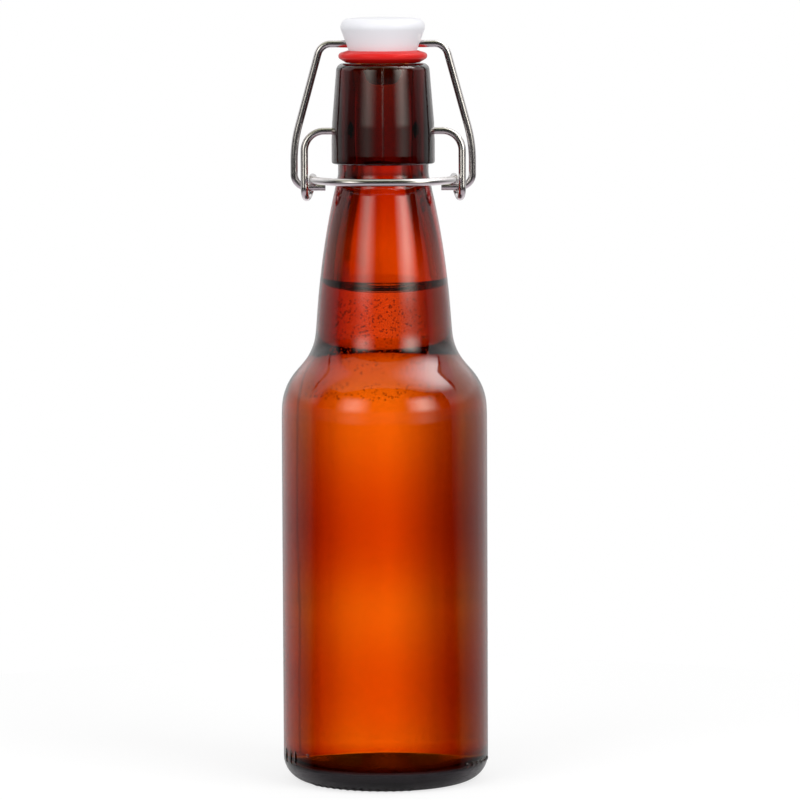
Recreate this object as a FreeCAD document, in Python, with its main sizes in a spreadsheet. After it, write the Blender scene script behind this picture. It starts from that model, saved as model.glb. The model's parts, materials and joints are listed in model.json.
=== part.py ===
"""Swing top bottle: glass, stopper, gasket, upper bail and locking lever, closed.

The origin is the middle of the base, +Z is up and the lever's ring is at the front, -Y.
"""
import FreeCAD
import Part
import math
import os
import Sketcher

Vector = FreeCAD.Vector

# How a sketch numbers its own axes, and its origin as a point of the level one.
SKETCH_AXES = {"level": -1, "upright": -2}
ORIGIN = (SKETCH_AXES["level"], 1)

# Driving sizes in millimetres, each with what it measures.
SIZES = [
    ("body_diameter", "63", "outside of the straight body"),
    ("heel_radius", "7.5", "outer round between body and base"),
    ("bearing_width", "3", "flat ring that the bottle stands on"),
    ("pushup_height", "4", "rise of the underside at the middle"),
    ("base_thickness", "5.1", "glass at the middle of the base"),
    ("floor_radius", "70", "dome of the floor inside"),
    ("floor_corner", "4.5", "round between floor and wall inside"),
    ("wall", "2.8", "glass of the body and shoulder"),
    ("shoulder_start", "114.4", "top of the straight body"),
    ("shoulder_radius", "17.9", "outer round of the shoulder"),
    ("root_radius", "16.6", "hollow between shoulder and neck"),
    ("neck_base_diameter", "42.2", "neck where its side stands upright"),
    ("neck_base_height", "126", "height of that place"),
    ("neck_diameter", "27.6", "throat below the collar"),
    ("throat_length", "3.4", "straight throat below the collar"),
    ("throat_blend", "9", "round between neck and throat"),
    ("lip_height", "220.2", "sealing lip above the base"),
    ("finish_height", "30.5", "collar's underside below the lip"),
    ("collar_diameter", "31.5", "widest part of the finish"),
    ("collar_edge", "0.7", "round of the collar's lower edge"),
    ("taper_drop", "20.5", "start of the finish's taper below the lip"),
    ("lip_diameter", "28.5", "finish at the lip"),
    ("lip_radius", "2.2", "outer round of the lip"),
    ("mouth_diameter", "18.6", "opening at the lip"),
    ("mouth_edge", "1.3", "inner round of the lip"),
    ("mouth_depth", "9.5", "lead-in above the bore"),
    ("bore_diameter", "17", "straight bore of the finish"),
    ("bore_length", "24", "length of that bore"),
    ("bore_blend", "14", "round between bore and neck inside"),
    ("dimple_drop", "20.6", "lever's pivot below the lip"),
    ("dimple_depth", "3.4", "dimple into the collar"),
    ("dimple_mouth", "4.8", "dimple's width at the collar"),
    ("pin_play", "0.15", "room round and behind the lever's ends"),
    ("wire_diameter", "2.3", "wire of bail and lever"),
    ("arm_standoff", "8.3", "lever's arm from the collar"),
    ("arm_bend", "6", "bend between the lever's end and arm"),
    ("eye_drop", "17.2", "eye below the pivot"),
    ("eye_setback", "1.5", "eye behind the pivot, past dead centre"),
    ("eye_play", "0.8", "room round the bail in the eye"),
    ("eye_ease", "0.1", "eye's bends under its half width"),
    ("coil_gap", "0.2", "room between the eye's turns"),
    ("leg_gap", "0.85", "room between arm and bail leg"),
    ("ring_clearance", "1.4", "ring over the lip as it swings past"),
    ("ring_dip", "0.5", "ring's front below the top of the eye"),
    ("ring_corner", "17", "bend at each side of the ring"),
    ("hook_length", "9.5", "bail's end from the leg inward"),
    ("hook_bend", "4", "bend between bail leg and hook"),
    ("leg_straight", "13.5", "bail leg's knee above the eye"),
    ("knee_bend", "40", "bend of that knee"),
    ("leg_lean", "15.3", "bail leg's lean above the knee, degrees"),
    ("bail_corner", "4", "bend at the top of the bail"),
    ("seal_gap", "0.25", "gasket over the lip"),
    ("gasket_diameter", "27.1", "gasket's edge"),
    ("gasket_edge_height", "1.95", "that edge above the gasket's underside"),
    ("gasket_rim", "1.1", "round of that edge"),
    ("gasket_height", "3.6", "whole gasket"),
    ("gasket_foot", "22.6", "flat underside's width"),
    ("gasket_face", "21.6", "flat top's width"),
    ("gasket_fit", "0.05", "gasket's hole over the stem"),
    ("seat_diameter", "20.8", "head's underside"),
    ("head_diameter", "25.7", "widest part of the head"),
    ("head_height", "10.2", "head above the gasket"),
    ("head_edge", "2.6", "round of the head's top edge"),
    ("crown", "0.4", "rise of the head's top"),
    ("stem_diameter", "12", "stem through the gasket"),
    ("bead_diameter", "13.6", "bead that holds the gasket on"),
    ("bead_height", "1.4", "height of that bead"),
    ("nose_length", "6", "tapered nose below the bead"),
    ("nose_diameter", "8.8", "end of that nose"),
    ("nose_round", "2.3", "round of that end"),
    ("bore_rise", "2.05", "cross bore above the head's underside"),
    ("bore_play", "0.12", "room round the wire in the cross bore"),
]

doc = FreeCAD.newDocument("SwingTopBottle")
dims = doc.addObject("Spreadsheet::Sheet", "dims")
for row, (alias, value, note) in enumerate(SIZES, start=1):
    dims.set(f"A{row}", alias)
    dims.set(f"B{row}", value)
    dims.set(f"C{row}", note)
    dims.setAlias(f"B{row}", alias)
doc.recompute()


def size(alias):
    """One driving size as a plain number."""
    return float(dims.get(alias))


# Heights and places that several pieces share, as sums of the driving sizes.
LEDGE_HEIGHT = "(dims.lip_height - dims.finish_height)"
FLARE_TOP = f"({LEDGE_HEIGHT} - dims.throat_length)"
BORE_TOP = "(dims.lip_height - dims.mouth_depth)"
BORE_END = f"({BORE_TOP} - dims.bore_length)"
PIVOT_HEIGHT = "(dims.lip_height - dims.dimple_drop)"
PIN_END = "(dims.collar_diameter / 2 - dims.dimple_depth + dims.pin_play)"
ARM_OUT = "(dims.collar_diameter / 2 + dims.arm_standoff)"
LEG_OUT = f"({ARM_OUT} + dims.wire_diameter + dims.leg_gap)"
EYE_HEIGHT = f"({PIVOT_HEIGHT} - dims.eye_drop)"
SEAL_HEIGHT = "(dims.lip_height + dims.seal_gap)"
SEAT_HEIGHT = f"({SEAL_HEIGHT} + dims.gasket_height)"
CROSS_HEIGHT = f"({SEAT_HEIGHT} + dims.bore_rise)"
BAIL_LENGTH = f"sqrt(({CROSS_HEIGHT} - {EYE_HEIGHT})^2 + dims.eye_setback^2)"


def number(expression):
    """The present value of a sum of driving sizes."""
    return float(dims.evalExpression(expression))


class Profile:
    """A closed outline in a sketch, drawn end to end from lines and arcs."""

    def __init__(self, body, name, role="XZ_Plane"):
        plane = next(f for f in body.Origin.OriginFeatures if f.Role == role)
        self.sketch = body.newObject("Sketcher::SketchObject", name)
        self.sketch.AttachmentSupport = [(plane, "")]
        self.sketch.MapMode = "FlatFace"
        self.edges = {}
        self.names = []

    def _keep(self, name, curve, first, last):
        self.edges[name] = (self.sketch.addGeometry(curve, False), first, last)
        self.names.append(name)

    def line(self, name, start, end):
        self._keep(name, Part.LineSegment(Vector(*start), Vector(*end)), 1, 2)

    def arc(self, name, centre, start, end, turn):
        """An arc from start to end; turn is 1 for anticlockwise and -1 for clockwise."""
        middle = Vector(*centre)
        spokes = [Vector(*point) - middle for point in (start, end)]
        angles = [math.atan2(spoke.y, spoke.x) for spoke in spokes]
        circle = Part.Circle(middle, Vector(0, 0, 1), spokes[0].Length)
        first, last = (1, 2) if turn > 0 else (2, 1)
        lower, upper = angles if turn > 0 else reversed(angles)
        self._keep(name, Part.ArcOfCircle(circle, lower, upper), first, last)

    def disc(self, name, height, radius):
        """A whole circle on the upright axis, at a height or at the origin."""
        middle = Vector(0, number(height) if height else 0)
        circle = Part.Circle(middle, Vector(0, 0, 1), number(radius))
        self._keep(name, circle, 3, 3)
        self.radius(name, radius)
        self.on_axis(name, "centre")
        if height:
            self.up(name, "centre", height)
        else:
            self.on_ground(name, "centre")

    def _end(self, name, which):
        geometry, first, last = self.edges[name]
        return geometry, {"start": first, "end": last, "centre": 3}[which]

    def join(self, smooth, closed=True):
        """Tie each edge's end to the next edge's start, tangent where the pair is in smooth."""
        followers = self.names[1:] + (self.names[:1] if closed else [])
        for name, follower in zip(self.names, followers):
            kind = "Tangent" if (name, follower) in smooth else "Coincident"
            ends = self._end(name, "end") + self._end(follower, "start")
            self.sketch.addConstraint(Sketcher.Constraint(kind, *ends))

    def level(self, *names):
        for name in names:
            self.sketch.addConstraint(Sketcher.Constraint("Horizontal", self.edges[name][0]))

    def upright(self, *names):
        for name in names:
            self.sketch.addConstraint(Sketcher.Constraint("Vertical", self.edges[name][0]))

    def on_axis(self, name, which):
        """Keep a point on the sketch's upright axis."""
        ends = self._end(name, which)
        self.sketch.addConstraint(Sketcher.Constraint("PointOnObject", *ends, SKETCH_AXES["upright"]))

    def on_ground(self, name, which):
        """Keep a point on the sketch's level axis."""
        ends = self._end(name, which)
        self.sketch.addConstraint(Sketcher.Constraint("PointOnObject", *ends, SKETCH_AXES["level"]))

    def _bind(self, constraint, label, expression):
        index = self.sketch.addConstraint(constraint)
        self.sketch.renameConstraint(index, label)
        self.sketch.setExpression(f"Constraints.{label}", expression)

    def across(self, name, which, expression):
        """Set how far a point lies from the upright axis."""
        ends = self._end(name, which)
        constraint = Sketcher.Constraint("DistanceX", *ORIGIN, *ends, number(expression))
        self._bind(constraint, f"{name}_{which}_across", expression)

    def up(self, name, which, expression):
        """Set how high a point lies."""
        ends = self._end(name, which)
        constraint = Sketcher.Constraint("DistanceY", *ORIGIN, *ends, number(expression))
        self._bind(constraint, f"{name}_{which}_up", expression)

    def radius(self, name, expression):
        constraint = Sketcher.Constraint("Radius", self.edges[name][0], number(expression))
        self._bind(constraint, f"{name}_radius", expression)

    def angle(self, name, expression):
        """Set a line's direction, in degrees from the level axis."""
        value = math.radians(number(expression))
        constraint = Sketcher.Constraint("Angle", self.edges[name][0], value)
        self._bind(constraint, f"{name}_angle", f"({expression}) * 1 deg")


def new_body(label):
    body = doc.addObject("PartDesign::Body", label)
    body.Label = label
    return body


def revolve(body, profile, name):
    """Turn an outline right round the body's upright axis."""
    feature = body.newObject("PartDesign::Revolution", name)
    feature.Profile = profile.sketch
    feature.ReferenceAxis = (profile.sketch, ["V_Axis"])
    feature.Angle = 360
    doc.recompute()
    return feature


def ring_edges(shape, radius, height, reach=0.02):
    """Names of the circular edges of a given radius and height about the upright axis."""
    found = []
    for index, edge in enumerate(shape.Edges, start=1):
        if edge.Degenerated or not isinstance(edge.Curve, Part.Circle):
            continue
        curve = edge.Curve
        if abs(curve.Radius - radius) < reach and abs(curve.Center.z - height) < reach:
            found.append(f"Edge{index}")
    return found


def round_edge(body, base, name, radius, height, rounding):
    """Round one circular edge by a radius given as an expression."""
    edges = ring_edges(base.Shape, radius, height)
    feature = body.newObject("PartDesign::Fillet", name)
    feature.Base = (base, edges)
    feature.setExpression("Radius", rounding)
    doc.recompute()
    return feature


def touch_circles(first, first_radius, second, second_radius, radius):
    """Centre and contact points of a circle that rests on two others from above."""
    first = Vector(*first)
    second = Vector(*second)
    first_reach = first_radius + radius
    second_reach = second_radius + radius
    gap = first.distanceToPoint(second)
    along = (first_reach ** 2 - second_reach ** 2 + gap ** 2) / (2 * gap)
    aside = math.sqrt(first_reach ** 2 - along ** 2)
    forward = (second - first) / gap
    across = Vector(-forward.y, forward.x)
    foot = first + forward * along
    centre = max(foot + across * aside, foot - across * aside, key=lambda point: point.y)
    on_first = first + (centre - first) * (first_radius / first_reach)
    on_second = second + (centre - second) * (second_radius / second_reach)
    return centre, on_first, on_second


def neck_radius(base, top, rise):
    """Expression for the radius of an arc that stands upright at its foot."""
    return f"(({rise})^2 + ({base} - {top})^2) / (2 * ({base} - {top}))"


def make_bottle():
    body = new_body("bottle")
    profile = Profile(body, "wall_section")
    body_r = size("body_diameter") / 2
    inner_r = body_r - size("wall")
    heel = size("heel_radius")
    start = size("shoulder_start")
    foot = body_r - heel
    bearing = foot - size("bearing_width")
    lip = size("lip_height")
    ledge = number(LEDGE_HEIGHT)
    pushup = size("pushup_height")

    # Underside, heel and body.
    dome = (bearing ** 2 + pushup ** 2) / (2 * pushup)
    profile.arc("underside", (0, pushup - dome), (0, pushup), (bearing, 0), -1)
    profile.line("bearing", (bearing, 0), (foot, 0))
    profile.arc("heel", (foot, heel), (foot, 0), (body_r, heel), 1)
    profile.line("side", (body_r, heel), (body_r, start))

    # Shoulder, hollow and neck outside.
    base_height = size("neck_base_height")
    outer_rise = f"{FLARE_TOP} - dims.neck_base_height"
    outer_bow = neck_radius("dims.neck_base_diameter / 2", "dims.neck_diameter / 2", outer_rise)
    bow = number(outer_bow)
    neck_centre = (size("neck_base_diameter") / 2 - bow, base_height)
    shoulder = size("shoulder_radius")
    shoulder_centre = (body_r - shoulder, start)
    root, on_shoulder, on_neck = touch_circles(
        shoulder_centre, shoulder, neck_centre, bow, size("root_radius"))
    throat = size("neck_diameter") / 2
    flare_top = number(FLARE_TOP)
    profile.arc("shoulder", shoulder_centre, (body_r, start), on_shoulder, 1)
    profile.arc("root", root, on_shoulder, on_neck, -1)
    profile.arc("neck", neck_centre, on_neck, (throat, flare_top), 1)

    # Throat, collar and lip.
    collar = size("collar_diameter") / 2
    taper = lip - size("taper_drop")
    lip_round = size("lip_radius")
    lip_out = size("lip_diameter") / 2
    edge = size("mouth_edge")
    mouth = size("mouth_diameter") / 2
    bore = size("bore_diameter") / 2
    bore_top = number(BORE_TOP)
    bore_end = number(BORE_END)
    profile.line("throat", (throat, flare_top), (throat, ledge))
    profile.line("ledge", (throat, ledge), (collar, ledge))
    profile.line("collar", (collar, ledge), (collar, taper))
    profile.line("finish", (collar, taper), (lip_out, lip - lip_round))
    profile.arc("lip", (lip_out - lip_round, lip - lip_round), (lip_out, lip - lip_round),
                (lip_out - lip_round, lip), 1)
    profile.line("land", (lip_out - lip_round, lip), (mouth + edge, lip))
    profile.arc("mouth_edge", (mouth + edge, lip - edge), (mouth + edge, lip), (mouth, lip - edge), 1)
    profile.line("mouth", (mouth, lip - edge), (bore, bore_top))
    profile.line("bore", (bore, bore_top), (bore, bore_end))

    # Neck, hollow, shoulder and floor inside.
    inner_rise = f"{BORE_END} - dims.neck_base_height"
    inner_base = "(dims.neck_base_diameter / 2 - dims.wall)"
    inner_bow = neck_radius(inner_base, "dims.bore_diameter / 2", inner_rise)
    bow_in = number(inner_bow)
    neck_in = (number(inner_base) - bow_in, base_height)
    shoulder_in = shoulder - size("wall")
    root_in, on_shoulder_in, on_neck_in = touch_circles(
        shoulder_centre, shoulder_in, neck_in, bow_in, size("root_radius") + size("wall"))
    floor = size("floor_radius")
    corner = size("floor_corner")
    floor_top = pushup + size("base_thickness")
    floor_centre = (0, floor_top - floor)
    rise = math.sqrt((floor + corner) ** 2 - (inner_r - corner) ** 2)
    corner_centre = (inner_r - corner, floor_centre[1] + rise)
    share = floor / (floor + corner)
    on_floor = (corner_centre[0] * share, floor_centre[1] + rise * share)
    profile.arc("neck_in", neck_in, (bore, bore_end), on_neck_in, -1)
    profile.arc("root_in", root_in, on_neck_in, on_shoulder_in, 1)
    profile.arc("shoulder_in", shoulder_centre, on_shoulder_in, (inner_r, start), -1)
    profile.line("side_in", (inner_r, start), (inner_r, corner_centre[1]))
    profile.arc("corner_in", corner_centre, (inner_r, corner_centre[1]), on_floor, -1)
    profile.arc("floor", floor_centre, on_floor, (0, floor_top), 1)
    profile.line("axis", (0, floor_top), (0, pushup))

    profile.join({
        ("bearing", "heel"), ("heel", "side"), ("side", "shoulder"), ("shoulder", "root"),
        ("root", "neck"), ("finish", "lip"), ("lip", "land"), ("land", "mouth_edge"),
        ("mouth_edge", "mouth"), ("neck_in", "root_in"), ("root_in", "shoulder_in"),
        ("shoulder_in", "side_in"), ("side_in", "corner_in"), ("corner_in", "floor")})
    profile.level("bearing", "ledge", "land")
    profile.upright("side", "throat", "collar", "bore", "side_in")
    for name, which in (("underside", "start"), ("floor", "end")):
        profile.on_axis(name, which)
        profile.on_axis(name, "centre")
    profile.up("underside", "start", "dims.pushup_height")
    profile.up("floor", "end", "dims.pushup_height + dims.base_thickness")
    profile.on_ground("bearing", "start")
    profile.across("bearing", "start", "dims.body_diameter / 2 - dims.heel_radius - dims.bearing_width")
    profile.radius("heel", "dims.heel_radius")
    profile.across("side", "end", "dims.body_diameter / 2")
    profile.up("side", "end", "dims.shoulder_start")
    profile.radius("shoulder", "dims.shoulder_radius")
    profile.radius("root", "dims.root_radius")
    profile.radius("neck", outer_bow)
    profile.up("neck", "centre", "dims.neck_base_height")
    profile.across("neck", "end", "dims.neck_diameter / 2")
    profile.up("neck", "end", FLARE_TOP)
    profile.up("ledge", "end", LEDGE_HEIGHT)
    profile.across("ledge", "end", "dims.collar_diameter / 2")
    profile.up("collar", "end", "dims.lip_height - dims.taper_drop")
    profile.radius("lip", "dims.lip_radius")
    profile.across("lip", "centre", "dims.lip_diameter / 2 - dims.lip_radius")
    profile.up("land", "end", "dims.lip_height")
    profile.radius("mouth_edge", "dims.mouth_edge")
    profile.across("mouth_edge", "centre", "dims.mouth_diameter / 2 + dims.mouth_edge")
    profile.across("mouth", "end", "dims.bore_diameter / 2")
    profile.up("mouth", "end", BORE_TOP)
    profile.up("bore", "end", BORE_END)
    profile.radius("neck_in", inner_bow)
    profile.up("neck_in", "centre", "dims.neck_base_height")
    profile.radius("root_in", "dims.root_radius + dims.wall")
    profile.radius("shoulder_in", "dims.shoulder_radius - dims.wall")
    profile.up("side_in", "start", "dims.shoulder_start")
    profile.across("side_in", "start", "dims.body_diameter / 2 - dims.wall")
    profile.radius("corner_in", "dims.floor_corner")
    profile.radius("floor", "dims.floor_radius")
    wall = revolve(body, profile, "glass")

    throat_round = round_edge(body, wall, "throat_round", throat, flare_top, "dims.throat_blend")
    half_ledge = "(dims.collar_diameter - dims.neck_diameter) / 4"
    collar_edge = f"min(dims.collar_edge; {half_ledge})"
    collar_round = round_edge(body, throat_round, "collar_round", collar, ledge, collar_edge)
    bore_round = round_edge(body, collar_round, "bore_round", bore, bore_end, "dims.bore_blend")

    # A conical dimple in each side of the collar for the lever's ends.
    plane = next(f for f in body.Origin.OriginFeatures if f.Role == "YZ_Plane")
    dimple = body.newObject("PartDesign::SubtractiveCone", "dimple")
    dimple.AttachmentSupport = [(plane, "")]
    dimple.MapMode = "FlatFace"
    dimple.setExpression("AttachmentOffset.Base.y", PIVOT_HEIGHT)
    dimple.setExpression("AttachmentOffset.Base.z", "dims.collar_diameter / 2 - dims.dimple_depth")
    bottom = "(dims.wire_diameter / 2 + dims.pin_play)"
    dimple.setExpression("Radius1", bottom)
    dimple.setExpression("Radius2", f"{bottom} + 2 * (dims.dimple_mouth / 2 - {bottom})")
    dimple.setExpression("Height", "2 * dims.dimple_depth")
    doc.recompute()
    dimples = body.newObject("PartDesign::Mirrored", "dimples")
    dimples.Originals = [dimple]
    dimples.MirrorPlane = (plane, [""])
    body.Tip = dimples
    doc.recompute()
    if not dimples.Shape.Volume < dimple.Shape.Volume < bore_round.Shape.Volume:
        raise RuntimeError("the dimples cut nothing from the collar")
    return body


def tangent_point(outside, centre, radius, side):
    """Where a line from a point outside a circle touches it, on its left (1) or right (-1)."""
    spoke = Vector(*outside) - Vector(*centre)
    swing = side * math.acos(radius / spoke.Length)
    heading = math.atan2(spoke.y, spoke.x) + swing
    return (centre[0] + radius * math.cos(heading), centre[1] + radius * math.sin(heading))


def make_gasket():
    """A ring of lens section: wide rounded edge, flat where it meets the head and the lip."""
    body = new_body("gasket")
    profile = Profile(body, "ring_section")
    hole = size("stem_diameter") / 2 + size("gasket_fit")
    foot = size("gasket_foot") / 2
    face = size("gasket_face") / 2
    low = number(SEAL_HEIGHT)
    high = number(SEAT_HEIGHT)
    rim = size("gasket_rim")
    centre = (size("gasket_diameter") / 2 - rim, low + size("gasket_edge_height"))
    rim_low = tangent_point((foot, low), centre, rim, 1)
    rim_high = tangent_point((face, high), centre, rim, -1)
    profile.line("underside", (hole, low), (foot, low))
    profile.line("lower_flank", (foot, low), rim_low)
    profile.arc("rim", centre, rim_low, rim_high, 1)
    profile.line("upper_flank", rim_high, (face, high))
    profile.line("face", (face, high), (hole, high))
    profile.line("hole", (hole, high), (hole, low))
    profile.join({("lower_flank", "rim"), ("rim", "upper_flank")})
    profile.level("underside", "face")
    profile.upright("hole")
    profile.across("underside", "start", "dims.stem_diameter / 2 + dims.gasket_fit")
    profile.up("underside", "start", SEAL_HEIGHT)
    profile.across("underside", "end", "dims.gasket_foot / 2")
    profile.radius("rim", "dims.gasket_rim")
    profile.across("rim", "centre", "dims.gasket_diameter / 2 - dims.gasket_rim")
    profile.up("rim", "centre", f"{SEAL_HEIGHT} + dims.gasket_edge_height")
    profile.across("upper_flank", "end", "dims.gasket_face / 2")
    profile.up("upper_flank", "end", SEAT_HEIGHT)
    revolve(body, profile, "rubber")
    return body


def make_stopper():
    """A tapered head on a stem, with a bead under the gasket and a bore for the bail."""
    body = new_body("stopper")
    profile = Profile(body, "head_section")
    seat = number(SEAT_HEIGHT)
    seal = number(SEAL_HEIGHT)
    top = seat + size("head_height")
    head = size("head_diameter") / 2
    edge = size("head_edge")
    under = size("seat_diameter") / 2
    stem = size("stem_diameter") / 2
    bead = size("bead_diameter") / 2
    bead_low = seal - size("bead_height")
    nose = size("nose_diameter") / 2
    nose_low = bead_low - size("nose_length")
    crown = size("crown")
    shoulder = head - edge
    dome = (shoulder ** 2 + crown ** 2) / (2 * crown)
    rim = top - crown
    profile.line("nose_end", (0, nose_low), (nose, nose_low))
    profile.line("nose", (nose, nose_low), (bead, bead_low))
    profile.line("bead", (bead, bead_low), (bead, seal))
    profile.line("bead_top", (bead, seal), (stem, seal))
    profile.line("stem", (stem, seal), (stem, seat))
    profile.line("seat", (stem, seat), (under, seat))
    profile.line("flank", (under, seat), (head, rim - edge))
    profile.arc("edge", (shoulder, rim - edge), (head, rim - edge), (shoulder, rim), 1)
    profile.arc("top", (0, top - dome), (shoulder, rim), (0, top), 1)
    profile.line("axis", (0, top), (0, nose_low))
    profile.join({("flank", "edge")})
    profile.level("nose_end", "bead_top", "seat")
    profile.upright("bead", "stem")
    for name, which in (("nose_end", "start"), ("top", "centre"), ("top", "end")):
        profile.on_axis(name, which)
    profile.up("nose_end", "end", f"{SEAL_HEIGHT} - dims.bead_height - dims.nose_length")
    profile.across("nose_end", "end", "dims.nose_diameter / 2")
    profile.across("bead", "start", "dims.bead_diameter / 2")
    profile.up("bead", "start", f"{SEAL_HEIGHT} - dims.bead_height")
    profile.up("bead", "end", SEAL_HEIGHT)
    profile.across("stem", "start", "dims.stem_diameter / 2")
    profile.up("seat", "end", SEAT_HEIGHT)
    profile.across("seat", "end", "dims.seat_diameter / 2")
    profile.radius("edge", "dims.head_edge")
    profile.across("edge", "centre", "dims.head_diameter / 2 - dims.head_edge")
    profile.up("edge", "centre", f"{SEAT_HEIGHT} + dims.head_height - dims.crown - dims.head_edge")
    profile.up("top", "end", f"{SEAT_HEIGHT} + dims.head_height")
    profile.across("top", "start", "dims.head_diameter / 2 - dims.head_edge")
    turned = revolve(body, profile, "head")
    solid = round_edge(body, turned, "nose_end_round", nose, nose_low, "dims.nose_round")

    circle = Profile(body, "bore_circle", "YZ_Plane")
    circle.disc("wire_hole", CROSS_HEIGHT, "dims.wire_diameter / 2 + dims.bore_play")
    bore = body.newObject("PartDesign::Pocket", "cross_bore")
    bore.Profile = circle.sketch
    bore.Type = "ThroughAll"
    bore.Midplane = True
    doc.recompute()
    if not bore.Shape.Volume < solid.Shape.Volume:
        raise RuntimeError("the cross bore cuts nothing from the head")
    return body


def bend(before, corner, after, radius):
    """Start, centre and end of the round that takes off a corner between two straight runs."""
    inward = (before - corner).normalize()
    outward = (after - corner).normalize()
    half = inward.getAngle(outward) / 2
    reach = radius / math.tan(half)
    centre = corner + (inward + outward).normalize() * (radius / math.sin(half))
    return corner + inward * reach, centre, corner + outward * reach


def make_bail():
    """One wire in one plane: hook, leg, through the stopper, leg, hook."""
    body = new_body("upper_bail")
    lean = f"atan(dims.eye_setback / ({CROSS_HEIGHT} - {EYE_HEIGHT}))"
    body.Placement.Rotation = FreeCAD.Rotation(Vector(1, 0, 0), 1)
    body.setExpression("Placement.Base.y", "dims.eye_setback")
    body.setExpression("Placement.Base.z", EYE_HEIGHT)
    body.setExpression("Placement.Rotation.Angle", lean)

    leg = number(LEG_OUT)
    length = number(BAIL_LENGTH)
    slope = math.radians(size("leg_lean"))
    knee = size("leg_straight")
    corner = leg - (length - knee) * math.tan(slope)
    right = [Vector(leg - size("hook_length"), 0), Vector(leg, 0), Vector(leg, knee), Vector(corner, length)]
    points = right + [Vector(-p.x, p.y) for p in reversed(right)]
    bends = [size("hook_bend"), size("knee_bend"), size("bail_corner")]
    bends += bends[::-1]
    runs = ["hook", "leg", "slope", "cross", "slope_left", "leg_left", "hook_left"]
    turns = ["hook_turn", "knee", "corner", "corner_left", "knee_left", "hook_turn_left"]
    path = Profile(body, "bail_path")
    smooth = set()
    start = points[0]
    for index, (run, turn, radius) in enumerate(zip(runs, turns, bends)):
        arc_start, centre, arc_end = bend(*points[index:index + 3], radius)
        path.line(run, start, arc_start)
        path.arc(turn, centre, arc_start, arc_end, 1)
        smooth |= {(run, turn), (turn, runs[index + 1])}
        start = arc_end
    path.line(runs[-1], start, points[-1])
    path.join(smooth, closed=False)
    path.level("hook", "cross", "hook_left")
    path.upright("leg", "leg_left")
    for side in ("", "_left"):
        path.radius(f"hook_turn{side}", "dims.hook_bend")
        path.radius(f"knee{side}", "dims.knee_bend")
        path.radius(f"corner{side}", "dims.bail_corner")
    knee_start = "dims.leg_straight - dims.knee_bend * tan(dims.leg_lean * 0.5 deg)"
    path.on_ground("hook", "start")
    path.on_ground("hook_left", "end")
    path.across("hook", "start", f"{LEG_OUT} - dims.hook_length")
    path.across("hook_left", "end", f"dims.hook_length - {LEG_OUT}")
    path.across("leg", "end", LEG_OUT)
    path.across("leg_left", "start", f"-{LEG_OUT}")
    path.up("leg", "end", knee_start)
    path.up("leg_left", "start", knee_start)
    path.angle("slope", "90 + dims.leg_lean")
    path.angle("slope_left", "-90 - dims.leg_lean")
    path.up("cross", "start", BAIL_LENGTH)

    section = Profile(body, "bail_section", "YZ_Plane")
    section.sketch.setExpression("AttachmentOffset.Base.z", f"{LEG_OUT} - dims.hook_length")
    section.disc("wire_end", None, "dims.wire_diameter / 2")
    doc.recompute()
    wire = body.newObject("PartDesign::AdditivePipe", "bail_wire")
    wire.Profile = section.sketch
    wire.Spine = path.sketch
    doc.recompute()
    return body


def bent_wire(points, bends):
    """A path of straight runs joined by tangent bends, one bend at each inner point."""
    edges = []
    start = points[0]
    for before, corner, after, radius in zip(points, points[1:], points[2:], bends):
        arc_start, centre, arc_end = bend(before, corner, after, radius)
        crest = centre + (corner - centre).normalize() * radius
        edges.append(Part.LineSegment(start, arc_start).toShape())
        edges.append(Part.Arc(arc_start, crest, arc_end).toShape())
        start = arc_end
    edges.append(Part.LineSegment(start, points[-1]).toShape())
    return Part.Wire(edges)


def make_lever():
    """One wire: end in the dimple, arm, eye round the bail's hook, ring across the front."""
    wire = size("wire_diameter")
    pivot = number(PIVOT_HEIGHT)
    eye_y = size("eye_setback")
    eye_z = number(EYE_HEIGHT)
    coil = wire + size("eye_play")
    arm = number(ARM_OUT)
    side = arm - wire - size("coil_gap")
    middle = (arm + side) / 2
    ring_z = eye_z + coil - size("ring_dip")

    # The ring's front passes outside the lip's round as the lever swings over the top.
    lip_y = size("lip_diameter") / 2 - size("lip_radius")
    lip_z = size("lip_height") - size("lip_radius") - pivot
    sweep = math.hypot(lip_y, lip_z) + size("lip_radius") + size("ring_clearance") + wire / 2
    front = -math.sqrt(sweep ** 2 - (ring_z - pivot) ** 2)

    right = [
        Vector(number(PIN_END), 0, pivot),
        Vector(arm, 0, pivot),
        Vector(arm, eye_y - coil, eye_z - coil),
        Vector(middle, eye_y + coil, eye_z - coil),
        Vector(side, eye_y + coil, eye_z + coil),
        Vector(side, front, ring_z),
    ]
    turn = coil - size("eye_ease")
    bends = [size("arm_bend"), turn, turn, turn, size("ring_corner")]
    left = [Vector(-p.x, p.y, p.z) for p in reversed(right)]

    path = doc.addObject("Part::Feature", "lever_path")
    path.Shape = bent_wire(right + left, bends + bends[::-1])
    section = doc.addObject("Part::Circle", "lever_section")
    section.setExpression("Radius", "dims.wire_diameter / 2")
    section.Placement = FreeCAD.Placement(right[0], FreeCAD.Rotation(Vector(0, 0, 1), Vector(1, 0, 0)))
    lever = doc.addObject("Part::Sweep", "locking_lever")
    lever.Label = "locking_lever"
    lever.Sections = [section]
    lever.Spine = (path, [f"Edge{index}" for index in range(1, len(path.Shape.Edges) + 1)])
    lever.Solid = True
    doc.recompute()
    expected = math.pi * wire ** 2 / 4 * path.Shape.Length
    if abs(lever.Shape.Volume - expected) > 0.01 * expected:
        raise RuntimeError("the lever's wire isn't as long as its path")
    return lever


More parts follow.
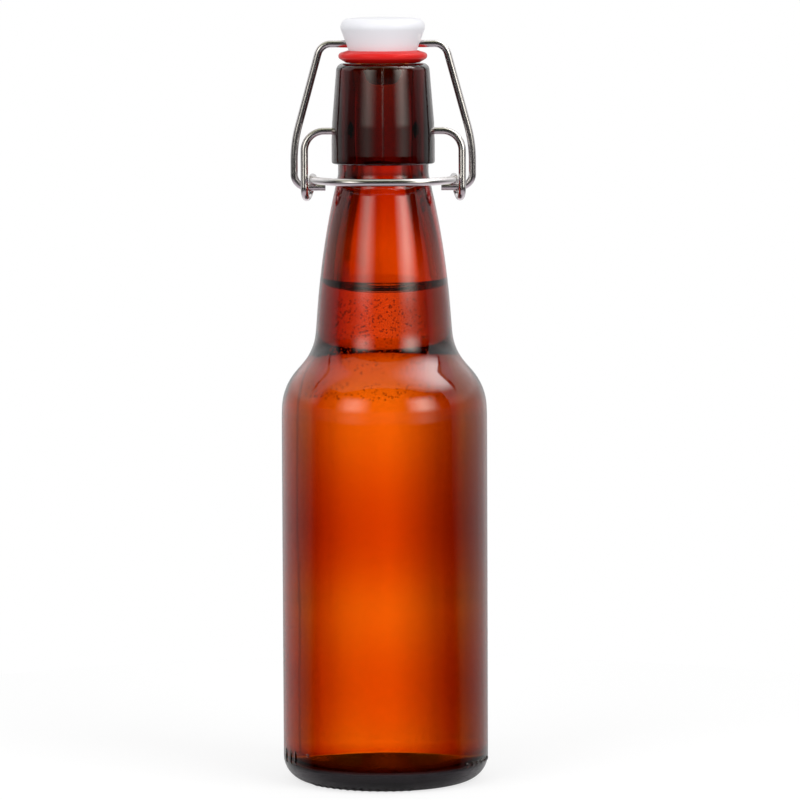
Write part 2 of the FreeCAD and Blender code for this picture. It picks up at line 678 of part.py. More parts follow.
def main():
    pieces = [make_bottle(), make_gasket(), make_stopper(), make_bail(), make_lever()]
    doc.recompute()
    failed = [o.Name for o in doc.Objects if {"Invalid", "Error"} & set(o.State)]
    if failed:
        raise RuntimeError(f"these objects failed: {failed}")
    for piece in pieces:
        if piece.Shape.isNull() or not piece.Shape.isValid():
            raise RuntimeError(f"{piece.Label} has no valid shape")
    os.makedirs("parts", exist_ok=True)
    for piece in pieces:
        piece.Shape.exportStep(f"parts/{piece.Label}.step")
        print(piece.Label, round(piece.Shape.Volume, 1), piece.Shape.optimalBoundingBox())


main()
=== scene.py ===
"""Looks of the swing top bottle: amber glass, drink, closure and a plain studio."""
import json
import math
import random

import bmesh
import bpy
from bpy.props import FloatProperty, FloatVectorProperty, IntProperty, PointerProperty
from bpy.types import Operator, Panel, PropertyGroup
from mathutils import Matrix, Vector, noise


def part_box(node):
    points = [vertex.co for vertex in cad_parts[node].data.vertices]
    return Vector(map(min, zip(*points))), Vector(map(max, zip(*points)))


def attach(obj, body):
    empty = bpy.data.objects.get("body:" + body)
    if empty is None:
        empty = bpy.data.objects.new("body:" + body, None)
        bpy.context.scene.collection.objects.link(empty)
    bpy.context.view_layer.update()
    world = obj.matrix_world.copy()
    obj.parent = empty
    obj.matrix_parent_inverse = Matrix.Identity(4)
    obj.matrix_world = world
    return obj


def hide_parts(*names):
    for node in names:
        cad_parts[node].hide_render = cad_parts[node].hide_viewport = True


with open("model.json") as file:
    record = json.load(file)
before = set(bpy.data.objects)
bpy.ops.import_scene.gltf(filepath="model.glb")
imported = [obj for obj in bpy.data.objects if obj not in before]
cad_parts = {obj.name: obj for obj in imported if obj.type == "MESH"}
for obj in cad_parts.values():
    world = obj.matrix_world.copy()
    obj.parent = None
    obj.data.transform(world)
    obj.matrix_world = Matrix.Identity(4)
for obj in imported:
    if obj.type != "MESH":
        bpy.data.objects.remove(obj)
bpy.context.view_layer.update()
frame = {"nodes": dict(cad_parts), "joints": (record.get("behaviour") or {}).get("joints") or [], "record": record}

bl_info = {
    "name": "Swing top bottle",
    "version": (1, 0, 0),
    "blender": (4, 5, 0),
    "location": "3D View > Sidebar > Bottle",
    "description": "Dresses the swing top bottle and sets up its studio",
    "category": "Object",
}

MM = 0.001
BOTTLE_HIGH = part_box("bottle")[1]
MOUNTS = {mount["name"]: mount for mount in frame["record"]["mounts"]}
JOINTS = {joint["name"]: joint for joint in frame["joints"]}
BORE_RADIUS = MOUNTS["neck_bore"]["dims"]["r_mm"] * MM
PIVOT_HEIGHT = JOINTS["lever_swing"]["pos_m"][2]

# Angle of the front, which is at -Y.
FRONT = -math.pi / 2
ON_AXIS = 1e-7
WHITE = (1, 1, 1, 1)
BLACK = (0, 0, 0, 1)

# Uneven glass of the blown wall. A pair is a soft edge from its start to its end, above the neck's foot.
NECK_SWELL_FOOT = (-5 * MM, 5 * MM)
NECK_SWELL_TOP = (42 * MM, 18 * MM)
NECK_SWELL_LEAN = 0.8
NECK_SWELL_OVAL = 0.4
THINNING_FOOT = (-13 * MM, -2 * MM)
THINNING_TOP = (9 * MM, 0)
# Fineness of the wall's waves, round it and for each metre of height.
BROAD_WAVES = (1.6, 18)
FINE_WAVES = (5, 7)
FINE_WAVE_SHARE = 0.35
# Near a mould seam a column is split into four parts, and each side of the seam has six of them.
SEAM_SPLIT = 4
SEAM_PARTS = 6

# Marks on the heel, in degrees from the front. Widths and reliefs are in sizes of a mark.
DOTS = (52, 57.5, 63, 69, 75, 80.5, 100, 105.5, 111, 117, 123)
DOT_WIDTH = 1.2
DOT_RELIEF = 0.6
TICKS = (-61, -67, -75)
TICK_RISE = 1.6 * MM
TICK_RELIEF = 0.5
LONE_DOT = -49
LONE_DOT_RISE = 3.4 * MM
# Two runs of 14 fine ridges, 5.2 degrees apart, at the front and at the back.
KNURL = [start + ridge * 5.2 for ridge in range(14) for start in (-52, 128)]
KNURL_HEIGHT = 0.75 * MM
KNURL_LENGTH = 1.3 * MM
KNURL_RELIEF = 0.35

# Points of the drink's surface, in meniscus widths from the glass.
MENISCUS_STEPS = (0.02, 0.1, 0.2, 0.35, 0.5, 0.7, 0.9, 1.2, 1.6, 2.1, 2.7, 3.5, 4.5)
# Heights of the bubbles: one in four clings to the shoulder, the others to the neck.
SHOULDER_TURN = 4
SHOULDER_BUBBLES = (119.5 * MM, 124 * MM)
NECK_BUBBLES = (126.5 * MM, 149.5 * MM)
# Their angles from the front, sizes as shares of the largest, and distance from the glass in radii.
BUBBLE_ANGLES = (-1.0, 0.8)
BUBBLE_SIZES = (0.6, 1)
BUBBLE_STANDOFF = 1.15
BUBBLE_SEED = 7

GLASS_IOR = 1.52
DRINK_IOR = 1.33
FINISH_TINT_EDGE = 0.3 * MM
STREAK_STRETCH = (1, 1, 0.03)
SCRATCH_FINENESS = 22.0

FLOOR_GREY = (0.3, 0.3, 0.3, 1)
FLOOR_GLOW = 0.74
PATCH_EDGE = (0.8, 1.3)
ROOM_GREY = (0.6, 0.6, 0.6, 1)
# Direction of each soft lamp from the bottle, and its brightness.
LAMPS = (((-0.6, -0.75, 0.55), 0.3), ((0.7, -0.65, 0.6), 0.36))
SENSOR_WIDTH = 36

# Room that gloss shows. A place is a share of a direction: across, depth to the back or height.
# Two places are the start and end of a soft edge; with a third number they are two edges of that softness.
LOW_SIDES = (-0.175, -0.05)
LOW_SIDES_LIGHT = 0.3
HIGH_SIDES = (0.12, 0.3)
HIGH_SIDES_LIGHT = 0.5
BACK_LIGHT = 0.65
LEFT_HALF = (0.1, -0.1)
LEFT_FRONT = (-0.2, 0.06)
RIGHT_HALF = (-0.1, 0.1)
RIGHT_FRONT = (-0.165, -0.145)
BACK_MIDDLE = (0.9, 1.0)
BACK_MIDDLE_SHADE = 0.4
BEAM = (0.37, 0.46, 0.02)
BEAM_SHADE = 0.9
VEIL = (-0.06, 0.14, 0.03)
VEIL_LIGHT = 0.09
CEILING = (0.63, 0.66)
CEILING_FRONT = (-0.7, -0.62)
CEILING_LIGHT = 0.55
OVERHEAD = (0.4, 0.5)
# Point of a ceiling that is 1 above, to the right and to the back.
SKYLIGHT_MIDDLE = (0.85, 0.2, 0)
SKYLIGHT_REACH = (0.95, 0.0)
SKYLIGHT_BACK = (0.36, 0.32)
SKYLIGHT_LIGHT = 7.0
TABLE = (-0.25, -0.6)
# Middle of each panel in degrees from the front, and its brightness. The widths are in degrees too.
PANELS = ((-36, 3.4), (46, 5.8))
PANEL_HALF_WIDTH = 11
PANEL_SOFTNESS = 26
PANEL_HEIGHT = (0.12, 0.5, 0.2)
PANEL_FOOT = (-0.065, 0.3, 0.02)
PANEL_FOOT_LIGHT = 0.13
# Light of ceiling, panels and table in red, green and blue.
CEILING_TINT = (1.0, 1.05, 0.7)
PANEL_TINT = (1.03, 1.02, 0.92)
TABLE_TINT = (0.58, 0.52, 0.57)

# Room seen through the glass, in the same terms.
WALL_MIDDLE = 0.05
WALL_EDGE = (0.05, 0.42)
WALL_LIGHT = (2.2, 2.15, 2.1, 1)
WALL_ENDS = (0.88, 0.97)
UPPER_WALL = (-0.105, -0.09)
UPPER_NARROWING = 0.35
UPPER_RED = 0.1
UPPER_GREEN = 0.25
LOWER_WALL = (-0.12, -0.175)
LOWER_RED = 0.13
SIDE_RED = 0.67
SIDE_GREEN = 0.35
SIDE_BLUE = 0.35
RED_SLOPE = 0.25
GREEN_SLOPE = 0.1
OUTER_SIDES = (0.36, 0.46)
OUTER_GREEN = 0.8
BRIGHT_BAND = -0.1415
BAND_RATE = 205.0
BAND_SHADE = 0.05
BAND_RANGE = (-0.185, -0.111, 0.01)
FOOT = (-0.19, -0.3)
FOOT_SHADE = 0.2
POST = (0.53, 0.56, 0.012)
POST_SHADE = 0.4
DARK_START = (0.02, 0.15)
DARK_TOP = (0.15, 0.4)
DARK_MIDDLE = (0.25, 0.5)
DARK_MIDDLE_SHARE = 0.8
DARK_LIGHT = (0.07, 0.06, 0.05, 1)


def length(name, description, default):
    """A size in metres."""
    return FloatProperty(name=name, description=description, default=default, unit="LENGTH", precision=5)


def share(name, description, default):
    """A plain number."""
    return FloatProperty(name=name, description=description, default=default, precision=3)


def turn(name, description, degrees):
    """An angle, kept in radians."""
    return FloatProperty(name=name, description=description, default=math.radians(degrees), subtype="ANGLE")


def colour(name, description, default):
    """A linear colour."""
    return FloatVectorProperty(
        name=name, description=description, default=default, subtype="COLOR", size=len(default), min=0, max=1)


class GlassSettings(PropertyGroup):
    """Section, marks and colour of the glass."""
    body_radius: length("Body radius", "Outside of the straight body", BOTTLE_HIGH.x)
    heel_radius: length("Heel round", "Outer round between body and base", 7.5 * MM)
    bearing_width: length("Bearing width", "Flat ring that the bottle stands on", 3 * MM)
    pushup: length("Push-up", "Rise of the underside at the middle", 4 * MM)
    base_thickness: length("Base thickness", "Glass at the middle of the base", 5.1 * MM)
    floor_dome: length("Floor dome", "Radius of the floor inside", 70 * MM)
    floor_corner: length("Floor corner", "Round between floor and wall inside", 4.5 * MM)
    wall: length("Wall", "Glass of the body and shoulder", 2.8 * MM)
    shoulder_start: length("Shoulder start", "Top of the straight body", 114.4 * MM)
    shoulder_radius: length("Shoulder round", "Outer round of the shoulder", 17.9 * MM)
    root_radius: length("Root round", "Hollow between shoulder and neck", 16.6 * MM)
    neck_base_radius: length("Neck base radius", "Neck where its side stands upright", 21.1 * MM)
    neck_base_height: length("Neck base height", "Height of that place", 126 * MM)
    throat_radius: length("Throat radius", "Throat below the collar", 13.8 * MM)
    throat_length: length("Throat length", "Straight throat below the collar", 3.4 * MM)
    throat_blend: length("Throat blend", "Round between neck and throat", 9 * MM)
    lip_height: length("Lip height", "Sealing lip above the base", BOTTLE_HIGH.z)
    finish_height: length("Finish height", "Underside of the collar below the lip", 30.5 * MM)
    collar_radius: length("Collar radius", "Widest part of the finish", 15.75 * MM)
    collar_edge: length("Collar edge", "Round of the collar's lower edge", 0.7 * MM)
    taper_drop: length("Taper drop", "Start of the finish's taper below the lip", 20.5 * MM)
    lip_width: length("Lip width", "Radius of the finish at the lip", 14.25 * MM)
    lip_round: length("Lip round", "Outer round of the lip", 2.2 * MM)
    mouth_radius: length("Mouth radius", "Opening at the lip", 9.3 * MM)
    mouth_edge: length("Mouth edge", "Inner round of the lip", 1.3 * MM)
    mouth_depth: length("Mouth depth", "Lead-in above the bore", 9.5 * MM)
    bore_radius: length("Bore radius", "Straight bore of the finish", BORE_RADIUS)
    bore_length: length("Bore length", "Length of that bore", 24 * MM)
    bore_blend: length("Bore blend", "Round between bore and neck inside", 14 * MM)
    dimple_depth: length("Dimple depth", "Dimple for the lever's end", 3.4 * MM)
    dimple_mouth: length("Dimple mouth", "Radius of the dimple at the collar", 2.4 * MM)
    dimple_bottom: length("Dimple bottom", "Radius of the dimple's bottom", 1.3 * MM)
    seam_height: length("Seam height", "Mould seam on the finish", 0.09 * MM)
    seam_width: length("Seam width", "Half width of that seam", 0.22 * MM)
    wave: length("Wave", "Unevenness of the blown wall inside", 0.22 * MM)
    swell: length("Swell", "Thicker glass of the body's upper ring", 0.85 * MM)
    low_swell: length("Low swell", "Thicker glass of the body's lower ring", 0.5 * MM)
    swell_height: length("Swell height", "Height of the upper thick ring", 76.8 * MM)
    swell_pitch: length("Swell pitch", "From one thick ring to the next", 47.8 * MM)
    swell_fade: length("Swell fade", "From the upper thick ring up to even glass", 36 * MM)
    neck_swell: length("Neck swell", "Thicker glass of the neck's foot", 0.8 * MM)
    shoulder_thinning: length("Shoulder thinning", "Thinner glass of the shoulder", 0.36 * MM)
    mark_height: length("Mark height", "Height of the dots and ticks on the heel", 7 * MM)
    mark_size: length("Mark size", "Radius of a plain mark on the heel", 0.65 * MM)
    tick_length: length("Tick length", "Half length of a tick on the heel", 2.4 * MM)
    columns: IntProperty(name="Columns", description="Faces round the bottle", default=240, min=24)
    tint: colour("Tint", "Colour that the glass takes on with its thickness", (0.887, 0.615, 0.05))
    density: share("Density", "Strength of the tint", 1350)
    finish_tint: colour("Finish tint", "Further tint of the finish at each face", (0.54, 0.95, 1.0))


class DrinkSettings(PropertyGroup):
    """The drink in the bottle and the bubbles on its wall."""
    level: length("Level", "Surface of the drink above the base", 150.4 * MM)
    meniscus: length("Meniscus", "Climb of the drink at the glass", 4.0 * MM)
    meniscus_width: length("Meniscus width", "How far the climb reaches from the glass", 2.2 * MM)
    overlap: length("Overlap", "How far the drink reaches into the glass", 0.04 * MM)
    bubbles: IntProperty(name="Bubbles", description="Bubbles on the wall", default=560, min=0)
    bubble_size: length("Bubble size", "Largest bubble's radius", 0.33 * MM)


class ClosureSettings(PropertyGroup):
    """Colours of the closure."""
    plastic: colour("Plastic", "Stopper", (0.84, 0.84, 0.88))
    rubber: colour("Rubber", "Gasket", (0.68, 0.008, 0.006))
    steel: colour("Steel", "Wire of bail and lever", (0.7, 0.67, 0.67))


class StudioSettings(PropertyGroup):
    """Camera, light and floor."""
    aim: FloatVectorProperty(
        name="Aim", description="Point at the middle of the picture", default=(4.8 * MM, 0, 117.1 * MM),
        size=3, subtype="XYZ", unit="LENGTH")
    distance: length("Distance", "Camera from that point", 1.5325)
    pitch: turn("Pitch", "Camera looking down", 5.7)
    roll: turn("Roll", "Camera leaning", -0.24)
    lens: share("Lens", "Focal length in millimetres on a sensor 36 mm wide", 225)
    floor_radius: length("Floor radius", "Pale disc that the bottle stands on", 0.25)
    floor_patch: length("Floor patch", "Patch under the bottle that its glass shows", 0.03)
    lamp_distance: length("Lamp distance", "Soft lamps from the aim", 1.1)
    lamp_size: length("Lamp size", "Width and height of the soft lamps", 0.7)


class Outline:
    """Points of a turned section, drawn end to end as radius and height."""

    def __init__(self, radius, height):
        self.points = [Vector((radius, height))]

    def line(self, radius, height, step=2.5 * MM):
        """Straight on to a point, with a point about every step."""
        start = self.points[-1]
        end = Vector((radius, height))
        count = max(1, round((end - start).length / step))
        self.points += [start.lerp(end, index / count) for index in range(1, count + 1)]

    def arc(self, centre, radius, height, step=3.0):
        """Round a centre to a point the short way, with a point about every step of degrees."""
        centre = Vector(centre)
        start = self.points[-1] - centre
        end = Vector((radius, height)) - centre
        sweep = -start.angle_signed(end)
        count = max(4, math.ceil(abs(math.degrees(sweep)) / step))
        for index in range(1, count + 1):
            spoke = Matrix.Rotation(sweep * index / count, 2) @ start
            self.points.append(centre + spoke)


class Bow:
    """The long arc of a neck, upright at its foot and leaning in at its top."""

    def __init__(self, foot_radius, foot_height, top_radius, top_height, blend):
        climb = top_height - foot_height
        inset = foot_radius - top_radius
        self.radius = (climb ** 2 + inset ** 2) / (2 * inset)
        self.centre = Vector((foot_radius - self.radius, foot_height))
        lean = math.asin(climb / self.radius)
        cut = blend * math.tan(lean / 2)
        height = top_height - cut * math.cos(lean)
        self.top = Vector((self.at(height), height))
        self.blend_centre = Vector((top_radius + blend, top_height + cut))
        self.blend_end = Vector((top_radius, top_height + cut))

    def at(self, height):
        """Radius of the neck at a height."""
        return self.centre.x + math.sqrt(self.radius ** 2 - (height - self.centre.y) ** 2)


def touch(first, first_radius, second, second_radius, radius):
    """Centre and two contact points of a circle that rests on two others from above."""
    first = Vector(first)
    second = Vector(second)
    gap = second - first
    reach = first_radius + radius
    other = second_radius + radius
    along = (reach ** 2 - other ** 2 + gap.length_squared) / (2 * gap.length)
    aside = math.sqrt(reach ** 2 - along ** 2)
    forward = gap.normalized()
    foot = first + forward * along
    centre = max((foot + forward.orthogonal() * side for side in (aside, -aside)), key=lambda point: point.y)
    return centre, first.lerp(centre, first_radius / reach), second.lerp(centre, second_radius / other)


def ease(points, low, high, rounds=8):
    """Even out the curvature of a section between two heights."""
    points = list(points)
    inside = [index for index in range(1, len(points) - 1) if low < points[index].y < high]
    for _ in range(rounds):
        middles = {index: (points[index - 1] + points[index + 1]) / 2 for index in inside}
        for index, middle in middles.items():
            points[index] = points[index].lerp(middle, 0.5)
    return points


def outer_outline(glass):
    """Section of the outside, from the middle of the underside to the mouth."""
    foot = glass.body_radius - glass.heel_radius
    bearing = foot - glass.bearing_width
    dome = (bearing ** 2 + glass.pushup ** 2) / (2 * glass.pushup)
    ledge = glass.lip_height - glass.finish_height
    collar = glass.collar_radius
    edge = glass.collar_edge
    taper = glass.lip_height - glass.taper_drop
    shoulder = (glass.body_radius - glass.shoulder_radius, glass.shoulder_start)
    bow = Bow(glass.neck_base_radius, glass.neck_base_height, glass.throat_radius,
              ledge - glass.throat_length, glass.throat_blend)
    root, on_shoulder, on_neck = touch(
        shoulder, glass.shoulder_radius, bow.centre, bow.radius, glass.root_radius)
    lip = Vector((glass.lip_width - glass.lip_round, glass.lip_height - glass.lip_round))
    lean = math.atan2(collar - glass.lip_width, lip.y - taper)

    path = Outline(0, glass.pushup)
    path.arc((0, glass.pushup - dome), bearing, 0, step=2.0)
    path.line(foot, 0, step=1 * MM)
    path.arc((foot, glass.heel_radius), glass.body_radius, glass.heel_radius)
    path.line(glass.body_radius, glass.shoulder_start)
    path.arc(shoulder, *on_shoulder)
    path.arc(root, *on_neck)
    path.arc(bow.centre, *bow.top, step=0.5)
    path.arc(bow.blend_centre, *bow.blend_end)
    path.line(glass.throat_radius, ledge, step=1 * MM)
    path.line(collar - edge, ledge, step=0.6 * MM)
    path.arc((collar - edge, ledge + edge), collar, ledge + edge, step=12)
    path.line(collar, taper)
    path.line(lip.x + glass.lip_round * math.cos(lean), lip.y + glass.lip_round * math.sin(lean))
    path.arc(lip, lip.x, glass.lip_height, step=6)
    path.line(glass.mouth_radius + glass.mouth_edge, glass.lip_height, step=1 * MM)
    return ease(path.points, glass.shoulder_start - glass.shoulder_radius, bow.top.y)


def inner_outline(glass):
    """Section of the inside, from the mouth's edge down to the middle of the floor."""
    inner = glass.body_radius - glass.wall
    bore_top = glass.lip_height - glass.mouth_depth
    bore_end = bore_top - glass.bore_length
    shoulder = (glass.body_radius - glass.shoulder_radius, glass.shoulder_start)
    bow = Bow(glass.neck_base_radius - glass.wall, glass.neck_base_height, glass.bore_radius,
              bore_end, glass.bore_blend)
    root, on_shoulder, on_neck = touch(
        shoulder, glass.shoulder_radius - glass.wall, bow.centre, bow.radius, glass.root_radius + glass.wall)
    floor_top = glass.pushup + glass.base_thickness
    floor = Vector((0, floor_top - glass.floor_dome))
    corner_across = inner - glass.floor_corner
    reach = glass.floor_dome + glass.floor_corner
    corner = Vector((corner_across, floor.y + math.sqrt(reach ** 2 - corner_across ** 2)))
    mouth = Vector((glass.mouth_radius + glass.mouth_edge, glass.lip_height - glass.mouth_edge))

    path = Outline(mouth.x, glass.lip_height)
    path.arc(mouth, glass.mouth_radius, mouth.y, step=9)
    path.line(glass.bore_radius, bore_top)
    path.line(*bow.blend_end)
    path.arc(bow.blend_centre, *bow.top)
    path.arc(bow.centre, *on_neck, step=0.5)
    path.arc(root, *on_shoulder)
    path.arc(shoulder, inner, glass.shoulder_start)
    path.line(inner, corner.y)
    path.arc(corner, *floor.lerp(corner, glass.floor_dome / reach))
    path.arc(floor, 0, floor_top, step=1.5)
    return ease(path.points, glass.shoulder_start - glass.shoulder_radius, bow.top.y)


def rise(value, low, high):
    """Smooth step from 0 at low to 1 at high."""
    part = max(0, min(1, (value - low) / (high - low)))
    return part * part * (3 - 2 * part)


def wall_swell(glass, angle, height):
    """How much thicker the blown wall is than its section at a place."""
    above = height - glass.swell_height
    half_pitch = glass.swell_pitch / 2
    if above < glass.swell_fade:
        reach = glass.swell_fade if above > 0 else half_pitch
        swell = glass.swell if above > -half_pitch else glass.low_swell
        return swell * (1 + math.cos(math.pi * above / reach)) / 2
    climb = height - glass.neck_base_height
    thick = rise(climb, *NECK_SWELL_FOOT) * rise(climb, *NECK_SWELL_TOP)
    uneven = 1 - NECK_SWELL_LEAN * math.cos(angle) + NECK_SWELL_OVAL * math.cos(angle) ** 2
    thin = rise(climb, *THINNING_FOOT) * rise(climb, *THINNING_TOP)
    return glass.neck_swell * thick * uneven - glass.shoulder_thinning * thin


def wall_wave(glass, angle, height):
    """How far the blown wall inside stands out from its section at a place."""
    broad, fine = (
        noise.noise(Vector((math.cos(angle) * around, math.sin(angle) * around, height * upward)))
        for around, upward in (BROAD_WAVES, FINE_WAVES))
    return glass.wave * (broad + FINE_WAVE_SHARE * fine) - wall_swell(glass, angle, height)


def seam_ridge(glass, angle, radius):
    """Height of the mould seam, at the front and at the back."""
    away = radius * math.cos(angle)
    return glass.seam_height * math.exp(-(away / glass.seam_width) ** 2)


def column_angles(glass):
    """Angles of the columns, closer together at the two seams."""
    step = 2 * math.pi / glass.columns
    angles = {round(index * step, 6) for index in range(glass.columns)}
    for seam in (math.pi / 2, math.pi * 3 / 2):
        parts = range(-SEAM_PARTS, SEAM_PARTS + 1)
        angles |= {round(seam + step * part / SEAM_SPLIT, 6) for part in parts}
    return sorted(angles)


def turned_mesh(name, points, angles, relief):
    """A closed mesh turned from a section whose two ends lie on the axis."""
    work = bmesh.new()
    rings = []
    for index, point in enumerate(points):
        if point.x < ON_AXIS:
            rings.append([work.verts.new((0, 0, point.y))])
            continue
        ring = []
        for angle in angles:
            radius = point.x + relief(index, angle, point)
            ring.append(work.verts.new((radius * math.cos(angle), radius * math.sin(angle), point.y)))
        rings.append(ring)
    count = len(angles)
    for lower, upper in zip(rings, rings[1:]):
        for index in range(count):
            after = (index + 1) % count
            corners = [lower[index % len(lower)], lower[after % len(lower)],
                       upper[after % len(upper)], upper[index % len(upper)]]
            work.faces.new(list(dict.fromkeys(corners)))
    bmesh.ops.recalc_face_normals(work, faces=work.faces)
    return finished_mesh(name, work)


def finished_mesh(name, work):
    """The mesh of some worked faces, which are given up."""
    mesh = bpy.data.meshes.new(name)
    work.to_mesh(mesh)
    work.free()
    return mesh


def soften(mesh, degrees=35):
    """Smooth shading with edges left sharp where faces meet at more than an angle."""
    mesh.polygons.foreach_set("use_smooth", [True] * len(mesh.polygons))
    mesh.set_sharp_from_angle(angle=math.radians(degrees))


def add_object(name, data):
    """Link a mesh, lamp or camera to the scene."""
    made = bpy.data.objects.new(name, data)
    bpy.context.scene.collection.objects.link(made)
    return made


def add_piece(name, mesh, material, body):
    """Link a mesh as a piece of the object that rides on a body."""
    piece = add_object(name, mesh)
    mesh.materials.append(material)
    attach(piece, body)
    return piece


class Field:
    """A value that changes with place or direction: a node's output that is used in plain sums."""

    def __init__(self, tree, socket):
        self.tree = tree
        self.socket = socket

    def __add__(self, other):
        return maths(self.tree, "ADD", self, other)

    def __sub__(self, other):
        return maths(self.tree, "SUBTRACT", self, other)

    def __rsub__(self, other):
        return maths(self.tree, "SUBTRACT", other, self)

    def __mul__(self, other):
        return maths(self.tree, "MULTIPLY", self, other)

    def __truediv__(self, other):
        return maths(self.tree, "DIVIDE", self, other)

    def __abs__(self):
        return maths(self.tree, "ABSOLUTE", self)

    __radd__ = __add__
    __rmul__ = __mul__

    def larger(self, other):
        """The larger of two values."""
        return maths(self.tree, "MAXIMUM", self, other)

    def ramp(self, start, end):
        """Smooth step from 0 at the start to 1 at the end."""
        made = put(self.tree, "ShaderNodeMapRange", Value=self, From_Min=start, From_Max=end)
        made.interpolation_type = "SMOOTHSTEP"
        return Field(self.tree, made.outputs["Result"])

    def window(self, low, high, softness):
        """1 between low and high, with soft edges."""
        half = softness / 2
        return self.ramp(low - half, low + half) - self.ramp(high - half, high + half)


def connect(tree, value, socket):
    """Feed a socket from a field or another socket, or set it to a value."""
    if isinstance(value, Field):
        value = value.socket
    if isinstance(value, bpy.types.NodeSocket):
        tree.links.new(value, socket)
    else:
        socket.default_value = value


def feed(tree, node, **inputs):
    """Fill a node's inputs, named with underscores for spaces."""
    for name, value in inputs.items():
        connect(tree, value, node.inputs[name.replace("_", " ")])


def put(tree, kind, **inputs):
    """Add a node and fill its inputs, named as for feed."""
    made = tree.nodes.new(kind)
    feed(tree, made, **inputs)
    return made


def maths(tree, operation, first, second=0.0):
    """A sum of two values, or of one where the operation takes no more."""
    made = tree.nodes.new("ShaderNodeMath")
    made.operation = operation
    connect(tree, first, made.inputs[0])
    connect(tree, second, made.inputs[1])
    return Field(tree, made.outputs["Value"])


def parts_of(tree, place):
    """The three coordinates of a place or direction."""
    made = put(tree, "ShaderNodeSeparateXYZ", Vector=place)
    return [Field(tree, made.outputs[name]) for name in "XYZ"]


def distance_between(tree, place, middle):
    """How far a place is from a fixed one."""
    made = tree.nodes.new("ShaderNodeVectorMath")
    made.operation = "DISTANCE"
    connect(tree, place, made.inputs[0])
    connect(tree, middle, made.inputs[1])
    return Field(tree, made.outputs["Value"])


def blend(tree, factor, first, second):
    """Mix two colours."""
    made = tree.nodes.new("ShaderNodeMix")
    made.data_type = "RGBA"
    for name, value in (("Factor_Float", factor), ("A_Color", first), ("B_Color", second)):
        connect(tree, value, next(item for item in made.inputs if item.identifier == name))
    return next(item for item in made.outputs if item.identifier == "Result_Color")


def new_group(name, sockets):
    """A shader node group with the named inputs and outputs."""
    group = bpy.data.node_groups.new(name, "ShaderNodeTree")
    for label, side, default in sockets:
        socket = group.interface.new_socket(label, in_out=side, socket_type="NodeSocketFloat")
        if default is not None:
            socket.default_value = default
    return group, group.nodes.new("NodeGroupInput"), group.nodes.new("NodeGroupOutput")


def handling_group():
    """Faint smears and fine scratches that vary the gloss of every finish."""
    name = "Handling marks"
    if name in bpy.data.node_groups:
        return bpy.data.node_groups[name]
    group, source, sink = new_group(name, [
        ("Gloss", "INPUT", 0.1), ("Smear", "INPUT", 0.1), ("Scale", "INPUT", 60.0),
        ("Roughness", "OUTPUT", None), ("Height", "OUTPUT", None)])
    gloss, smear, scale = (Field(group, source.outputs[label]) for label in ("Gloss", "Smear", "Scale"))
    where = group.nodes.new("ShaderNodeTexCoord").outputs["Object"]
    broad = put(group, "ShaderNodeTexNoise", Vector=where, Scale=scale, Detail=4.0, Roughness=0.6)
    fine = put(group, "ShaderNodeTexNoise", Vector=where, Scale=scale * SCRATCH_FINENESS, Detail=2.0)
    rougher = Field(group, broad.outputs["Fac"]) * smear
    feed(group, sink, Roughness=gloss + rougher, Height=fine.outputs["Fac"])
    return group


def new_material(name):
    """A new material, with its tree and Principled shader."""
    material = bpy.data.materials.new(name)
    material.use_nodes = True
    return material, material.node_tree, material.node_tree.nodes["Principled BSDF"]


def finish_surface(tree, shader, bump, distance, **amounts):
    """Feed a shader's roughness and normal from the handling marks, in the amounts of their inputs."""
    marks = tree.nodes.new("ShaderNodeGroup")
    marks.node_tree = handling_group()
    feed(tree, marks, **amounts)
    relief = put(tree, "ShaderNodeBump", Strength=bump, Distance=distance, Height=marks.outputs["Height"])
    feed(tree, shader, Roughness=marks.outputs["Roughness"], Normal=relief.outputs["Normal"])
    return relief.outputs["Normal"]


def amber_glass(glass):
    """Clear amber glass that takes its colour from its thickness."""
    material, tree, shader = new_material("Amber glass")
    where = tree.nodes.new("ShaderNodeTexCoord").outputs["Object"]
    height = parts_of(tree, where)[2]
    ledge = glass.lip_height - glass.finish_height
    on_finish = height.ramp(ledge - FINISH_TINT_EDGE, ledge + FINISH_TINT_EDGE)
    feed(tree, shader, Base_Color=blend(tree, on_finish, WHITE, (*glass.finish_tint, 1)),
         Transmission_Weight=1, IOR=GLASS_IOR)
    smooth = finish_surface(tree, shader, bump=0.004, distance=0.2 * MM, Gloss=0.0, Smear=0.02, Scale=40.0)
    drawn = put(tree, "ShaderNodeMapping", Vector=where, Scale=STREAK_STRETCH)
    streaks = put(tree, "ShaderNodeTexNoise", Vector=drawn.outputs["Vector"], Scale=300.0, Detail=3.0)
    ripple = put(tree, "ShaderNodeBump", Strength=0.1, Distance=0.3 * MM, Height=streaks.outputs["Fac"],
                 Normal=smooth)
    feed(tree, shader, Normal=ripple.outputs["Normal"])
    tint = put(tree, "ShaderNodeVolumeAbsorption", Color=(*glass.tint, 1), Density=glass.density)
    feed(tree, tree.nodes["Material Output"], Volume=tint.outputs["Volume"])
    return material


def clear_drink():
    """Clear water-like drink."""
    material, tree, shader = new_material("Clear drink")
    feed(tree, shader, Base_Color=WHITE, Transmission_Weight=1, IOR=DRINK_IOR, Roughness=0)
    return material


def white_plastic(look):
    """Smooth moulded plastic that lets a little light in."""
    material, tree, shader = new_material("White plastic")
    feed(tree, shader, Base_Color=(*look.plastic, 1), Subsurface_Weight=0.15, Subsurface_Radius=(2 * MM,) * 3)
    finish_surface(tree, shader, bump=0.02, distance=0.2 * MM, Gloss=0.3, Smear=0.15, Scale=90.0)
    return material


